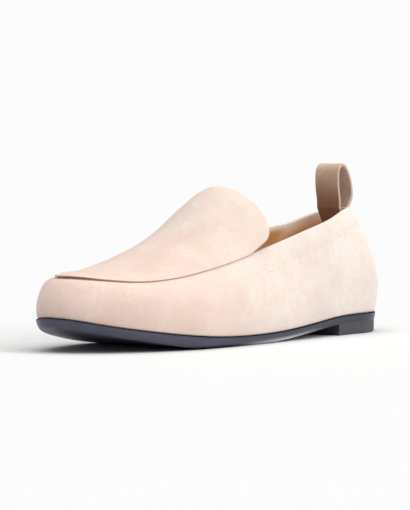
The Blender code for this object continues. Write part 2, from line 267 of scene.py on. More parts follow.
def edge_rail(side):
    """Apron seam and collar of one side, to the collar's back, where the two sides' heights blend."""
    toe, waist, heel = stations()
    sign = SIDES[side]["sign"]
    behind = np.concatenate([waist, HEEL_CENTRE - (HEEL_CENTRE - COLLAR_BACK) * heel])
    x = np.concatenate([BALL + (APRON_TIP - BALL) * toe, behind])
    seam = rounded_end(toe, SIDES[side]["apron"], APRON_FULLNESS) + sign * APRON_SWING * toe**2
    share = np.clip((COLLAR_FRONT - behind) / (COLLAR_FRONT - COLLAR_BACK), 0, 1)
    collar = rounded_end(share, WAIST["edge_" + side](behind), COLLAR_FULLNESS)
    half = np.concatenate([seam, collar])
    lateral = HEIGHTS["edge_lateral"](x)
    z = lateral + (HEIGHTS["edge_" + side](x) - lateral) * smooth_step(half, 0, BACK_BLEND)
    return np.stack([x, sign * half, z], axis=1)


edge = all_round(edge_rail)
print("the edge rises to", round(float(edge[:, 2].max()), 1), "mm at the collar's back")

# %% [markdown]
# ## From a grid of points to a piece
#
# All the new pieces are grids of points: rows that follow the shoe, and columns that cross it. One helper
# turns such a grid into a mesh, welds the points that coincide along a ridge or at a pole, and sets the
# piece in the frame. A leather wall needs two faces and a rounded edge between them, so a second helper
# wraps an outer and an inner grid into one closed skin. Solidify could do that too, but it can't thin the
# leather towards an edge, which a shoemaker does by skiving.

# %% Grids and skins
RIM_POINTS = 5


def quads(rows, columns, rows_closed=False, columns_closed=False):
    """Corner numbers of the quads between neighbours in a grid that is numbered row by row."""
    i = np.arange(rows if rows_closed else rows - 1)[:, None]
    j = np.arange(columns if columns_closed else columns - 1)[None, :]
    k = (i + 1) % rows
    m = (j + 1) % columns
    corners = [i * columns + j, k * columns + j, k * columns + m, i * columns + m]
    return np.stack(np.broadcast_arrays(*corners), axis=-1).reshape(-1, 4)


def normals(grid, ring=False):
    """Unit normals of a grid: its direction along the rows' order times its direction across."""
    along = np.roll(grid, -1, axis=0) - np.roll(grid, 1, axis=0) if ring else np.gradient(grid, axis=0)
    return unit(np.cross(along, np.gradient(grid, axis=1)))


def wrap(outer, inner, rim_points=RIM_POINTS, bulge=1.0):
    """Profiles that run along the outer face, round a half ellipse at its last edge, and back inside."""
    middle = (outer[:, -1:] + inner[:, -1:]) / 2
    half = (outer[:, -1:] - inner[:, -1:]) / 2
    reach = unit(outer[:, -1:] - outer[:, -2:-1]) * np.linalg.norm(half, axis=-1, keepdims=True) * bulge
    angle = np.linspace(0, np.pi, rim_points + 2)[1:-1][None, :, None]
    rim = middle + half * np.cos(angle) + reach * np.sin(angle)
    return np.concatenate([outer, rim, inner[:, ::-1]], axis=1)


# %% A piece from a grid
WELD = 0.003
CRISP = np.radians(48)


def add_piece(name, points, faces, finish, marks=None, crisp=None):
    """A piece of the shoe from points in millimetres. Marks are values kept on its points."""
    mesh = bpy.data.meshes.new(name)
    mesh.from_pydata(((points.reshape(-1, 3) + HEEL_BACK) * MM).tolist(), [], faces)
    for mark, values in (marks or {}).items():
        kept = mesh.attributes.new(mark, "FLOAT", "POINT")
        spread = np.broadcast_to(values, points.shape[:-1])
        kept.data.foreach_set("value", spread.astype(np.float32).ravel())
    work = bmesh.new()
    work.from_mesh(mesh)
    bmesh.ops.remove_doubles(work, verts=work.verts, dist=WELD * MM)
    loose_edges = sum(len(e.link_faces) != 2 for e in work.edges)
    volume = work.calc_volume(signed=True)
    work.to_mesh(mesh)
    work.free()
    mesh.shade_smooth()
    if crisp:
        mesh.set_sharp_from_angle(angle=crisp)
    mesh.materials.append(finish)
    piece = bpy.data.objects.new(name, mesh)
    bpy.context.scene.collection.objects.link(piece)
    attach(piece, "root")
    triangles = sum(len(p.vertices) - 2 for p in mesh.polygons)
    print(f"{name}: {triangles} triangles, {volume / MM**3:.0f} mm3, {loose_edges} open edges")
    return piece


# %% [markdown]
# ## Suede
#
# Suede is split leather with a brushed nap. From a step away it shows soft clouds, where the nap lies one
# way or the other, and from close by a fine felt of fibres. An image could show this, but noise at three
# sizes does too, and it never repeats: clouds of 20 to 30 mm, brush marks of some 8 mm, and the felt
# below 1 mm, which also drives the bump. A little sheen brightens the nap where it is seen along the surface.

# %% Node helpers
def add_node(tree, kind, inputs=None, **settings):
    """A shader node with its settings. An input is a value, or the socket that feeds it."""
    made = tree.nodes.new("ShaderNode" + kind)
    for name, value in settings.items():
        setattr(made, name, value)
    for name, value in (inputs or {}).items():
        if isinstance(value, bpy.types.NodeSocket):
            tree.links.new(value, made.inputs[name])
        else:
            made.inputs[name].default_value = value
    return made


MIX_INPUTS = {"factor": 0, "a": 6, "b": 7}
MIX_RESULT = 2


def mix(tree, factor, a, b, blend_type="MIX"):
    """One colour laid over another by a factor. The node's sockets share names, so they go by number."""
    made = add_node(tree, "Mix", data_type="RGBA", blend_type=blend_type)
    for name, value in (("factor", factor), ("a", a), ("b", b)):
        socket = made.inputs[MIX_INPUTS[name]]
        if isinstance(value, bpy.types.NodeSocket):
            tree.links.new(value, socket)
        else:
            socket.default_value = value
    return made.outputs[MIX_RESULT]


# %% Patterns and marks
def noise(tree, size, detail=2.0, roughness=0.5, distortion=0.0, stretch=(1.0, 1.0, 1.0)):
    """Noise on the shoe's own coordinates, whose spots are about so many millimetres across."""
    place = add_node(tree, "TexCoord").outputs["Object"]
    turned = add_node(tree, "Mapping", {"Vector": place, "Scale": stretch})
    inputs = {
        "Vector": turned.outputs[0],
        "Scale": 1.0 / (size * MM),
        "Detail": detail,
        "Roughness": roughness,
        "Distortion": distortion,
    }
    return add_node(tree, "TexNoise", inputs).outputs["Fac"]


def between(tree, value, low, high, to_low=0.0, to_high=1.0):
    """A value carried smoothly from one range to another."""
    inputs = {"Value": value, "From Min": low, "From Max": high, "To Min": to_low, "To Max": to_high}
    return add_node(tree, "MapRange", inputs, interpolation_type="SMOOTHSTEP").outputs["Result"]


def mark(tree, name):
    """A value that is kept on the piece's points."""
    return add_node(tree, "Attribute", attribute_name=name).outputs["Fac"]


# %% Materials and bump
def new_finish(name, roughness, **sockets):
    """A Principled material, whose even values sit on the shader's own sockets."""
    finish = bpy.data.materials.new(name)
    finish.use_nodes = True
    shader = finish.node_tree.nodes["Principled BSDF"]
    shader.inputs["Roughness"].default_value = roughness
    for socket, value in sockets.items():
        shader.inputs[socket.replace("_", " ")].default_value = value
    return finish, finish.node_tree, shader


def rough_up(tree, shader, height, depth, strength):
    """Bump from a height between 0 and 1 that stands for so many millimetres."""
    bump = add_node(tree, "Bump", {"Height": height, "Distance": depth * MM, "Strength": strength})
    tree.links.new(bump.outputs["Normal"], shader.inputs["Normal"])


# %% Colours and tints
HEEL_TINT_AT = -0.09
TOE_TINT_AT = 0.115


def rgb(red, green, blue):
    """A colour that isn't transparent."""
    return (red, green, blue, 1.0)


def scaled(colour, factor):
    """A colour times one factor, or times one for each of red, green and blue."""
    return rgb(*(factor * np.array(colour[:3])))


def along_axis(tree, axis):
    """The place of a point along one axis of the shoe, in metres."""
    place = add_node(tree, "TexCoord").outputs["Object"]
    return add_node(tree, "SeparateXYZ", {"Vector": place}).outputs[axis]


def tinted(tree, colour, heel_tint, toe_tint):
    """A colour multiplied by a tint that goes from one at the heel to another at the toe."""
    tint = mix(tree, between(tree, along_axis(tree, "X"), HEEL_TINT_AT, TOE_TINT_AT), heel_tint, toe_tint)
    return mix(tree, 1.0, colour, tint, "MULTIPLY")


# %% Suede finish
PINK = np.array([0.97, 0.90, 0.90])
FELT_SHADE = 0.75
FLESH_SHADE = 0.85
# painted light and shade: the suede is tinted paler and less pink towards the heel, where light falls, and
# darker and pinker towards the toe, which lies in shade
HEEL_PAINTED_LIGHT = rgb(0.98, 1.05, 1.06)
TOE_PAINTED_SHADE = rgb(0.995, 0.935, 0.915)
SHEEN = {"Sheen_Weight": 0.22, "Sheen_Roughness": 0.5, "Sheen_Tint": rgb(1.0, 0.94, 0.9)}
NAP = {
    "clouds": {"size": 24, "detail": 2.5, "roughness": 0.55, "distortion": 0.4},
    "strokes": {"size": 8, "detail": 3.0, "roughness": 0.6, "distortion": 0.6, "stretch": (0.7, 1.0, 1.3)},
    "flecks": {"size": 3.2, "detail": 2.0, "roughness": 0.6},
    "felt": {"size": 0.9, "detail": 5.0, "roughness": 0.65},
}


def suede(name, shade, body, light, cut_and_shade=None, fade=None, flesh_and_light=None):
    """Nap in three tones, tinted paler towards the heel as painted light and darker towards the toe as
    painted shade. A raw-core colour marks raw edges and paints shade in seams and under a lifted edge, a fade
    paints shade that darkens it downwards, and the leather's inner side is paler and also paints light on
    inner faces in shade.
    """
    finish, tree, shader = new_finish(name, roughness=0.92, Specular_IOR_Level=0.15, **SHEEN)
    clouds, strokes, flecks, felt = (noise(tree, **row) for row in NAP.values())
    colour = mix(tree, between(tree, clouds, low=0.34, high=0.66), shade, light)
    colour = mix(tree, between(tree, strokes, low=0.36, high=0.64, to_high=0.65), colour, body)
    colour = mix(tree, between(tree, flecks, low=0.35, high=0.65, to_high=0.5), colour, scaled(body, PINK))
    colour = mix(tree, between(tree, felt, low=0.3, high=0.7, to_high=0.22), colour, scaled(body, FELT_SHADE))
    # painted light towards the heel, painted shade towards the toe
    colour = tinted(tree, colour, HEEL_PAINTED_LIGHT, TOE_PAINTED_SHADE)
    # painted shade: darker towards the bottom, below a given height
    if fade:
        height = along_axis(tree, "Z")
        colour = mix(tree, between(tree, height, fade["low"] * MM, fade["high"] * MM), fade["colour"], colour)
    # the paler flesh side, which also paints light on inner faces that lie in shade
    if flesh_and_light:
        pale = mix(tree, between(tree, flecks, low=0.35, high=0.65), flesh_and_light, scaled(flesh_and_light, FLESH_SHADE))
        colour = mix(tree, mark(tree, "flesh_and_light"), colour, pale)
    # raw core at raw edges, and painted shade in seams and under a lifted edge
    if cut_and_shade:
        colour = mix(tree, between(tree, mark(tree, "cut_and_shade"), low=0.25, high=0.75), colour, cut_and_shade)
    tree.links.new(colour, shader.inputs["Base Color"])
    rough_up(tree, shader, felt, depth=0.35, strength=0.5)
    return finish


# %% Three suedes
blush_suede = suede(
    "blush_suede",
    shade=rgb(0.665, 0.53, 0.47),
    body=rgb(0.715, 0.595, 0.53),
    light=rgb(0.745, 0.645, 0.58),
    # painted shade: the dark line in the troughs of the back and medial seams, where the raw edges meet
    cut_and_shade=rgb(0.40, 0.28, 0.22),
    flesh_and_light=rgb(0.98, 0.92, 0.85),
)
apron_suede = suede(
    "apron_nap",
    shade=rgb(0.635, 0.51, 0.445),
    body=rgb(0.685, 0.565, 0.495),
    light=rgb(0.715, 0.62, 0.55),
    # the raw core at the cut edge, and painted shade under its lifted tip
    cut_and_shade=rgb(0.46, 0.32, 0.25),
)
loop_suede = suede(
    "loop_nap",
    shade=rgb(0.51, 0.32, 0.23),
    body=rgb(0.58, 0.375, 0.272),
    light=rgb(0.65, 0.435, 0.33),
    cut_and_shade=rgb(0.50, 0.36, 0.28),
    # painted shade: the loop darkens towards its base, where the collar shades it
    fade={"low": 66.0, "high": 90.0, "colour": rgb(0.235, 0.12, 0.065)},
    flesh_and_light=rgb(0.56, 0.40, 0.33),
)
print("suede finishes:", [m.name for m in (blush_suede, apron_suede, loop_suede)])

# %% [markdown]
# ## Lining leather, thread, sole and heel
#
# The lining is smooth tan leather with a fine grain of pores. The thread is matte. The sole's edge is
# dressed with a dark wax that leaves a satin gloss, and the heel block is a matte moulded rubber, a little
# greyer. Pictures of leather could be wrapped on, but noise and a cell pattern for the pores fit any size and
# need no seam. Each finish gets its own small relief, so that none of them is one flat colour.

# %% Lining leather
PORE = 0.9
PALE_LEATHER = rgb(0.98, 0.89, 0.79)
DEEP_LEATHER = rgb(0.62, 0.33, 0.13)


def lining_leather(name, shade, light):
    """Smooth leather with pores, paler where it is marked pale, as painted light, and browner where it is
    marked deep, as painted shade.
    """
    finish, tree, shader = new_finish(name, roughness=0.55, Specular_IOR_Level=0.35)
    clouds = noise(tree, size=18, detail=2.0)
    place = add_node(tree, "TexCoord").outputs["Object"]
    pores = add_node(tree, "TexVoronoi", {"Vector": place, "Scale": 1.0 / (PORE * MM)}).outputs["Distance"]
    colour = mix(tree, between(tree, clouds, low=0.3, high=0.7), shade, light)
    colour = mix(tree, mark(tree, "pale"), colour, PALE_LEATHER)
    colour = mix(tree, mark(tree, "deep"), colour, DEEP_LEATHER)
    tree.links.new(colour, shader.inputs["Base Color"])
    rough_up(tree, shader, pores, depth=0.08, strength=0.5)
    return finish


tan_lining = lining_leather("tan_lining", rgb(0.89, 0.66, 0.47), rgb(0.93, 0.72, 0.54))
# painted shade: the tongue's lining is a dark brown copy of the lining leather, for the shade under the flap
tongue_leather = lining_leather("tongue_leather", rgb(0.58, 0.33, 0.16), rgb(0.66, 0.40, 0.21))
print("lining leathers:", tan_lining.name, tongue_leather.name)

# %% The sole's wax
WAX_ROUGHNESS = 0.32
TREAD_ROUGHNESS = 0.95
WAX_TONES = (rgb(0.064, 0.064, 0.086), rgb(0.073, 0.073, 0.097))
WAX_TINTS = (rgb(0.66, 0.66, 0.68), rgb(1.15, 1.15, 1.25))
# painted reflection: the paler lilac band at the waist
WAIST_REFLECTION_COLOUR = rgb(0.62, 0.58, 0.63)
# near black for the tread, and painted shade near the floor and just under the upper
TREAD_AND_SHADE_COLOUR = rgb(0.008, 0.008, 0.011)


def waxed_edge():
    """Dark wax in streaks along the edge, with a paler painted reflection at the waist, and matte near black
    on the bottom, which also paints shade near the floor and just under the upper.
    """
    finish, tree, shader = new_finish("waxed_edge", WAX_ROUGHNESS, Specular_IOR_Level=0.12)
    streaks = noise(tree, size=2.2, detail=3.0, stretch=(0.25, 0.25, 2.5))
    grain = noise(tree, size=0.5, detail=2.0)
    colour = mix(tree, between(tree, streaks, low=0.35, high=0.65), *WAX_TONES)
    colour = tinted(tree, colour, *WAX_TINTS)
    # painted reflection at the waist
    colour = mix(tree, mark(tree, "waist_reflection"), colour, WAIST_REFLECTION_COLOUR)
    # the tread, and painted shade near the floor and under the upper
    tread_and_shade = mark(tree, "tread_and_shade")
    colour = mix(tree, tread_and_shade, colour, TREAD_AND_SHADE_COLOUR)
    tree.links.new(colour, shader.inputs["Base Color"])
    roughness = between(tree, tread_and_shade, 0.0, 1.0, WAX_ROUGHNESS, TREAD_ROUGHNESS)
    tree.links.new(roughness, shader.inputs["Roughness"])
    rough_up(tree, shader, grain, depth=0.03, strength=0.35)
    return finish


sole_wax = waxed_edge()
print("finish of the sole:", sole_wax.name)

# %% The heel's rubber and the thread
RUBBER_TONES = (rgb(0.044, 0.044, 0.058), rgb(0.060, 0.059, 0.075))
THREAD_TONES = (rgb(0.71, 0.59, 0.52), rgb(0.77, 0.655, 0.585))
# painted shade: the thread on the medial side, which lies in shade
MEDIAL_THREAD_SHADE = rgb(0.40, 0.27, 0.20)


def heel_rubber():
    """Matte moulded rubber in two close tones."""
    finish, tree, shader = new_finish("heel_rubber", roughness=0.6, Specular_IOR_Level=0.4)
    grain = noise(tree, size=0.7, detail=3.0)
    clouds = noise(tree, size=12, detail=2.0)
    colour = mix(tree, between(tree, clouds, low=0.3, high=0.7), *RUBBER_TONES)
    tree.links.new(colour, shader.inputs["Base Color"])
    rough_up(tree, shader, grain, depth=0.06, strength=0.5)
    return finish


def matte_thread():
    """Twisted thread that blends with the suede, painted browner on the medial side as shade."""
    finish, tree, shader = new_finish("matte_thread", roughness=0.8, Specular_IOR_Level=0.2)
    twist = noise(tree, size=0.4, detail=1.0)
    colour = mix(tree, between(tree, twist, low=0.3, high=0.7), *THREAD_TONES)
    colour = mix(tree, mark(tree, "medial"), colour, MEDIAL_THREAD_SHADE)
    tree.links.new(colour, shader.inputs["Base Color"])
    return finish


heel_finish = heel_rubber()
thread = matte_thread()
print("finishes of the heel and the thread:", heel_finish.name, thread.name)

# %% [markdown]
# ## The upper's wall
#
# The upper is suede pulled over the last. Each section is a Bezier curve that leaves the feather line with
# a slight outward lean and reaches the edge at that station's slope. In front of the throat it runs on for a
# few millimetres under the apron. The same formula gave the solid. Here it gets more rows, and the shoulder
# of the toe is pressed in a little, because soft suede rounds it off.

# %% Helpers for sections
UNDERLAP = 6.0
UNDERLAP_TAPER = 14.0


def bell(distance, width):
    """1 at no distance, 1/e at the width, and close to 0 beyond twice the width."""
    return np.exp(-((distance / width) ** 2))


def bezier(start, start_pull, end_pull, end, t):
    """Cubic Beziers, one for each row of the points, at the parameters in the rows of t."""
    a, b, c, d = (p[:, None, :] for p in (start, start_pull, end_pull, end))
    t = t[..., None]
    return (1 - t) ** 3 * a + 3 * t * (1 - t) ** 2 * b + 3 * t * t * (1 - t) * c + t**3 * d


def edge_direction():
    """Direction of each section as it crosses the edge: inwards and up."""
    angle = np.radians(SECTIONS["slope"](feather[:, 0]))[:, None]
    return UP * np.sin(angle) - outward(feather) * np.cos(angle)


def underlap():
    """How far each section runs on under the apron, which is nothing behind the throat."""
    return UNDERLAP * smooth_step(edge[:, :1], THROAT, THROAT + UNDERLAP_TAPER)


# %% Wall surface
UNDERLAP_DROP = 0.02
WALL_ROWS = 66
TOE_SOFTENING = 1.7
SOFT_FROM = 200.0
SOFT_AT = 10.0
SOFT_REACH = 8.0


def wall(shares):
    """The last's face at shares of the way from the feather line to the upper's end, for each column."""
    lean = np.radians(SECTIONS["lean"](feather[:, 0]))[:, None]
    foot = outward(feather) * np.sin(lean) + UP * np.cos(lean)
    top = edge_direction()
    chord = np.linalg.norm(edge - feather, axis=1)[:, None]
    t = shares * (1 + underlap() / chord)
    climb = bezier(
        feather,
        feather + foot * chord * SECTIONS["foot_handle"](feather[:, :1]),
        edge - top * chord * SECTIONS["edge_handle"](feather[:, :1]),
        edge,
        np.minimum(t, 1),
    )
    beyond = (np.maximum(t - 1, 0) * chord)[..., None]
    at_toe = TOE_SOFTENING * smooth_step(edge[:, :1], SOFT_FROM, APRON_TIP)
    soft = at_toe * bell(chord * (1 - t) - SOFT_AT, SOFT_REACH)
    inwards = -unit(outward(feather) + UP)[:, None] * soft[..., None]
    return climb + top[:, None] * beyond - UP * UNDERLAP_DROP * beyond**2 + inwards


last_face = wall(np.linspace(0, 1, WALL_ROWS)[None, :])
last_normals = normals(last_face, ring=True)
steps = np.linalg.norm(np.diff(last_face, axis=1), axis=2)
below = np.concatenate([np.cumsum(steps[:, ::-1], axis=1)[:, ::-1], np.zeros((len(feather), 1))], axis=1)
print("height of the wall at the heel:", round(float(below[HEEL_COLUMN, 0]), 1), "mm along the leather")

# %% [markdown]
# ## Seams, gathers and creases
#
# Round the collar the suede is turned over an elastic and sewn down, so a soft roll runs along the topline,
# a row of stitches lies in a groove below it, and the elastic gathers the leather into small puckers. A
# seam closes the back, and another one joins the quarter to the vamp on the medial side. All of them are
# heights above the last's face in millimetres, added up before the wall is made. They are written as
# troughs and ridges with soft bell-shaped sides, placed in the shoe's own stations.

# %% Depth of the collar's casing, and the strength of its roll
CASING = table(
    "station depth roll",
    [
        (COLLAR_BACK, 9.6, 1.0),
        (60, 10.0, 1.0),
        (95, 11.0, 1.0),
        (112, 12.2, 0.9),
        (122, 10.5, 0.6),
        (129, 5.0, 0.25),
        (THROAT, 1.5, 0.0),
    ],
)
print("at the back the stitches lie", float(CASING["depth"](COLLAR_BACK)), "mm below the topline")

# %% Relief of the casing
ROLL = 0.35
GROOVE = 0.28
LATERAL_GROOVE = 0.4
GROOVE_WIDTH = 1.2
PUCKER = 0.26
PUCKER_REACH = 6.0
PUCKER_WAVES = ({"length": 5.3, "start": 0.4}, {"length": 7.9, "start": 2.1}, {"length": 13.7, "start": 4.0})


def span(values):
    """The lowest and the highest of some heights, for printing."""
    return f"{values.min():.2f} to {values.max():.2f} mm"


def along_edge():
    """Length along the edge from the heel's back, for each column, the same on both sides."""
    step = np.linalg.norm(np.roll(edge, -1, axis=0) - edge, axis=1)
    travelled = np.concatenate([[0], np.cumsum(step)[:-1]])
    return travelled - travelled[HEEL_COLUMN]


def collar_relief():
    """Roll, groove and puckers of the casing, by the distance below the topline."""
    depth = CASING["depth"](edge[:, :1])
    strength = CASING["roll"](edge[:, :1]) * (edge[:, :1] < THROAT)
    from_stitches = below - depth
    roll = ROLL * np.sin(np.pi * np.clip(below / depth, 0, 1))
    side = np.where(edge[:, 1:2] > 0, LATERAL_GROOVE, 1.0)
    groove = -GROOVE * side * bell(from_stitches, GROOVE_WIDTH)
    length = along_edge()[:, None]
    waves = [np.sin(2 * np.pi * length / wave["length"] + wave["start"]) for wave in PUCKER_WAVES]
    puckers = PUCKER * np.mean(waves, axis=0) * bell(from_stitches, PUCKER_REACH)
    return strength * (roll + groove + puckers)


casing = collar_relief()
print("the casing's relief:", span(casing))

# %% The back seam and the medial side seam
SIDE_SEAM_FOOT = 108.0
SIDE_SEAM_HEAD = 130.5
SEAM_DEPTH = 0.6
SEAM_WIDTH = 0.8
LIP = 0.25
FAR = 1000.0


def seam(distance):
    """A closed seam: a narrow trough between two soft lips."""
    return LIP * bell(np.abs(distance) - 2 * SEAM_WIDTH, SEAM_WIDTH) - SEAM_DEPTH * bell(distance, SEAM_WIDTH)


def seam_distances():
    """Distance from the seam at the heel's back, and from the medial one from the throat to the feather."""
    x, y = last_face[..., 0], last_face[..., 1]
    share = np.linspace(0, 1, WALL_ROWS)[None, :]
    side = x - (SIDE_SEAM_FOOT + (SIDE_SEAM_HEAD - SIDE_SEAM_FOOT) * share)
    return np.where(x < HEEL_CENTRE, y, FAR), np.where(y < 0, side, FAR)


seams = sum(seam(distance) for distance in seam_distances())
print("the seams' relief:", span(seams))

# %% Creases: side, station, height, angle in degrees, length, width and depth of each
CREASES = (
    (1, 32, 19.5, 116, 7, 1.8, 0.50),
    (1, 21, 15.5, 105, 5, 1.4, 0.50),
    (1, 16, 24, 40, 8, 1.8, 0.30),
    (1, 66, 33, 62, 12, 3.6, 0.18),
    (1, 104, 30, 70, 11, 3.4, 0.18),
    (1, 150, 22, 58, 11, 3.6, 0.20),
    (1, 163, 20, 64, 10, 3.2, 0.16),
    (-1, 24, 21, 18, 10, 1.8, 0.30),
    (-1, 70, 31, 66, 12, 3.4, 0.22),
    (-1, 92, 27, 72, 11, 3.2, 0.22),
    (-1, 152, 22, 60, 11, 3.4, 0.22),
)
RIDGE_SHARE = 0.6
RIDGE_AWAY = 2.2
RIDGE_SPREAD = 1.4


def crease_relief():
    """Soft troughs with a lower ridge beside each, across lines drawn on the side of the shoe."""
    x, y, z = np.moveaxis(last_face, -1, 0)
    total = np.zeros_like(x)
    for side, station, height, angle, length, width, depth in CREASES:
        turn = np.radians(angle)
        along = (x - station) * np.cos(turn) + (z - height) * np.sin(turn)
        across = (z - height) * np.cos(turn) - (x - station) * np.sin(turn)
        fade = bell(along, length) * (y * side > 0)
        trough = bell(across, width) - RIDGE_SHARE * bell(across - RIDGE_AWAY * width, RIDGE_SPREAD * width)
        total -= depth * fade * trough
    return total


creases = crease_relief()
print(len(CREASES), "creases, with a relief of", span(creases))

# %% The vamp's roll along the apron, and all the relief
VAMP_ROLL = 0.35
VAMP_RISE = 2.5
VAMP_FALL = 4.0
VAMP_END = 20.0
VAMP_GROOVE = 0.6
TRIM_FULLNESS = 1.75
TRIM_ACROSS = 24.0


def apron_trim():
    """How far the apron's raw edge stays inside the seam line on the medial front, where it is rounder."""
    share = np.clip((edge[:, 0] - BALL) / (APRON_TIP - BALL), 0, 1)
    half = SIDES["medial"]["apron"]
    spare = rounded_end(share, half, APRON_FULLNESS) - rounded_end(share, half, TRIM_FULLNESS)
    return spare * smooth_step(APRON_SWING - edge[:, 1], 0, TRIM_ACROSS)


def vamp_roll():
    """A soft roll of the vamp just outside the apron's edge, fullest round the toe."""
    outside = below - underlap() + apron_trim()[:, None]
    height = VAMP_ROLL * smooth_step(edge[:, :1], THROAT + UNDERLAP_TAPER, APRON_TIP)
    groove = VAMP_GROOVE * GROOVE * smooth_step(edge[:, :1], THROAT, BALL) * bell(outside, GROOVE_WIDTH)
    rise = smooth_step(outside, 0.0, VAMP_RISE)
    fall = 1 - smooth_step(outside, VAMP_FALL, VAMP_END)
    return height * rise * fall - groove


relief = casing + seams + creases + vamp_roll()
print("all the relief:", span(relief))

# %% [markdown]
# ## Suede outside, lining inside
#
# The suede climbs the outside, turns over the collar's elastic and goes down inside, where its flesh side is
# paler, so pale that it paints light on the inner rim, which lies in shade. Below the fold it is skived to
# the thickness of suede, and a leather lining fills the rest of the wall. One mesh with two materials could
# show this, but as two skins they keep a true edge where the lining begins. The lining is painted paler along
# the topline as light, and browner below, most of all at the sides, as shade.

# %% The upper's suede
WALL = 2.0
FOLD = 0.35
FOLD_STEP = 0.8
SUEDE = 1.25
# width of the painted shade in the seams' troughs
SEAM_SHADE_WIDTH = 0.7
suede_depth = WALL - (WALL - SUEDE) * smooth_step(below, FOLD, FOLD + FOLD_STEP)[..., None]
outer_face = last_face + last_normals * relief[..., None]
inner_face = last_face - last_normals * suede_depth
profile = wrap(outer_face, inner_face)
upper_faces = quads(*profile.shape[:2], rows_closed=True, columns_closed=True)
# painted shade along the troughs of the back and medial seams, where the raw edges meet
seam_shade = np.zeros(profile.shape[:2])
seam_shade[:, :WALL_ROWS] = sum(bell(distance, SEAM_SHADE_WIDTH) for distance in seam_distances())
# the turned-in suede's flesh side is paler, so pale that it paints light on the inner rim, which lies in
# shade
turned = np.arange(profile.shape[1]) > WALL_ROWS + RIM_POINTS // 2
upper_marks = {"cut_and_shade": seam_shade, "flesh_and_light": turned}
upper = add_piece("upper_suede", profile, upper_faces.tolist(), blush_suede, upper_marks)
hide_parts("upper")

# %% The upper's lining
LINING_ROWS = 40
LINING_DROP = 0.1
LINING_PROUD = 0.04
LINING_GAP = 0.05
THIN_RIM = 3
lining_top = 1 - LINING_DROP / below[:, :1]
lining_face = wall(np.linspace(0, 1, LINING_ROWS)[None, :] * lining_top)
lining_normals = normals(lining_face, ring=True)
lining_outer = lining_face - lining_normals * (SUEDE + LINING_GAP)
lining_inner = lining_face - lining_normals * (WALL + LINING_PROUD)
lining_profile = wrap(lining_outer, lining_inner, THIN_RIM)
lining_faces = quads(*lining_profile.shape[:2], rows_closed=True, columns_closed=True)
print("rows and columns of the lining:", lining_profile.shape[:2])

# %% The lining's tones
PALE_TOP = 1.0
PALE_HEEL = 9.0
PALE_SIDE = 4.5
HEEL_TONE_END = 32.0
SIDE_TONE_START = 44.0
HEEL_DEEP = 0.45
HEEL_DEEP_TOP = 3.0
lining_drop = edge[:, None, 2] - lining_profile[..., 2]
side_tone = smooth_step(edge[:, :1], HEEL_TONE_END, SIDE_TONE_START)
# painted light: the lining is paler near the topline, where the top of the inner wall is lit
pale = 1 - smooth_step(lining_drop, PALE_TOP, PALE_HEEL + (PALE_SIDE - PALE_HEEL) * side_tone)
# painted shade: browner lower down at the heel, and most of all at the sides near the flap
heel_deep = HEEL_DEEP * smooth_step(lining_drop, HEEL_DEEP_TOP, PALE_HEEL)
deep = np.maximum(side_tone * smooth_step(lining_drop, PALE_TOP, PALE_SIDE), heel_deep)
lining_marks = {"pale": pale, "deep": deep}
add_piece("quarter_lining", lining_profile, lining_faces.tolist(), tan_lining, lining_marks)

# %% [markdown]
# ## Stitches round the collar
#
# The casing is held by a row of lockstitches. A dashed texture would do from afar, but thread lies on the
# leather and catches light, so each stitch is a small arch of thread that dips into the groove at both
# ends. All of them are computed at once: one stitch as a grid, carried to every place along the line.

# %% The line of the stitches
STITCHES_END = 126.0


def at_depth(grid, depth):
    """Points of each column of the wall at a distance below the topline, between its two nearest rows."""
    row = np.clip((below > depth[:, None]).sum(axis=1) - 1, 0, WALL_ROWS - 2)
    column = np.arange(len(below))
    low, high = below[column, row], below[column, row + 1]
    share = np.clip((low - depth) / (low - high), 0, 1)[:, None]
    return grid[column, row] * (1 - share) + grid[column, row + 1] * share


collar_columns = np.flatnonzero(edge[:, 0] < STITCHES_END)
stitch_depth = CASING["depth"](edge[:, 0])
stitch_line = at_depth(outer_face, stitch_depth)[collar_columns]
stitch_normals = at_depth(last_normals, stitch_depth)[collar_columns]
print("columns along the line:", len(stitch_line))

# %% Stitches
STITCH_PITCH = 3.0
STITCH_LENGTH = 2.3
STITCH_HALF_WIDTH = 0.24
STITCH_ARCH = 0.06
STITCH_DIP = 2.5
STITCH_RINGS = 9
STITCH_SIDES = 8


def evenly(line, values, pitch):
    """Values along a line of points, read at equal distances."""
    length = np.concatenate([[0], np.cumsum(np.linalg.norm(np.diff(line, axis=0), axis=1))])
    where = np.arange(pitch / 2, length[-1], pitch)
    return np.stack([np.interp(where, length, column) for column in values.T], axis=1)


def stitch_row(line, line_normals):
    """Arches of thread along a line: a round profile, carried along a stitch and lifted off the leather."""
    middle = evenly(line, line, STITCH_PITCH)
    up = unit(evenly(line, line_normals, STITCH_PITCH))
    along = unit(np.gradient(middle, axis=0))
    side = unit(np.cross(up, along))
    s = np.linspace(-1, 1, STITCH_RINGS)[:, None]
    turn = np.linspace(0, 2 * np.pi, STITCH_SIDES, endpoint=False)[None, :]
    thick = STITCH_HALF_WIDTH * np.sqrt(np.clip(1 - s**4, 0, 1))
    forward = np.broadcast_to(s * STITCH_LENGTH / 2, (STITCH_RINGS, STITCH_SIDES))
    sideways = thick * np.cos(turn)
    lifted = thick * np.sin(turn) + STITCH_ARCH * (1 - STITCH_DIP * s**2)
    parts = [(forward, along), (sideways, side), (lifted, up)]
    return middle[:, None, None] + sum(a[None, ..., None] * v[:, None, None] for a, v in parts)


stitches = stitch_row(stitch_line, stitch_normals)
one = quads(STITCH_RINGS, STITCH_SIDES, columns_closed=True)
first = np.arange(len(stitches))[:, None, None] * STITCH_RINGS * STITCH_SIDES
stitch_faces = (first + one[None]).reshape(-1, 4)[:, ::-1]
